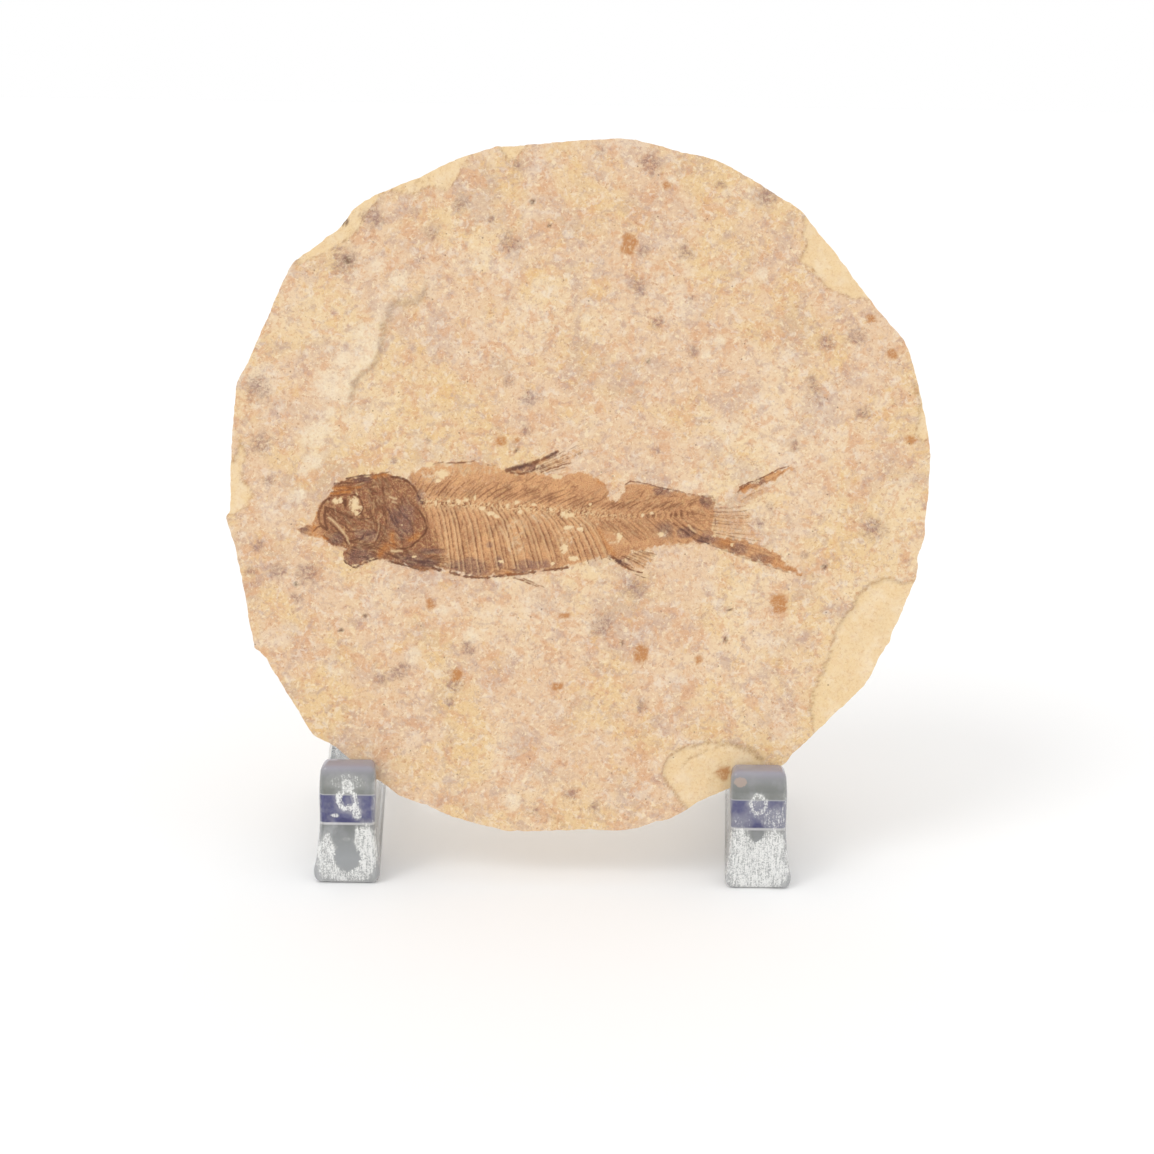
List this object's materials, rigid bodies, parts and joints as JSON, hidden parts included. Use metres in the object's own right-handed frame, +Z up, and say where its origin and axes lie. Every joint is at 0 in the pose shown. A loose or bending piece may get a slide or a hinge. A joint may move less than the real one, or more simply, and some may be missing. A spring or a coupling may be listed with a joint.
{
  "type": "fossil fish slab",
  "caption": "Roundish limestone slab with a small fossil fish in relief on its face, leaning back in two clear plastic display feet.",
  "frame": {"origin": "centre of the bounding box's bottom face, on the surface that the feet stand on", "axes": "+Z up, -Y toward the viewer of the fish side, +X to that viewer's right (toward the tail)"},
  "size_m": [0.1408, 0.053, 0.1451],
  "materials": {
    "limestone": "matt split limestone, cream and tan, mottled with ochre, mauve and grey",
    "fossil_bone": "matt orange-brown to dark brown mineralised bone and skin",
    "clear_acrylic": "clear polished acrylic, scuffed low down, with a blue-violet band"
  },
  "bodies": {
    "root": {"limestone_slab": "limestone", "fossil_fish": "fossil_bone", "left_stand_foot": "clear_acrylic", "right_stand_foot": "clear_acrylic"}
  },
  "joints": []
}
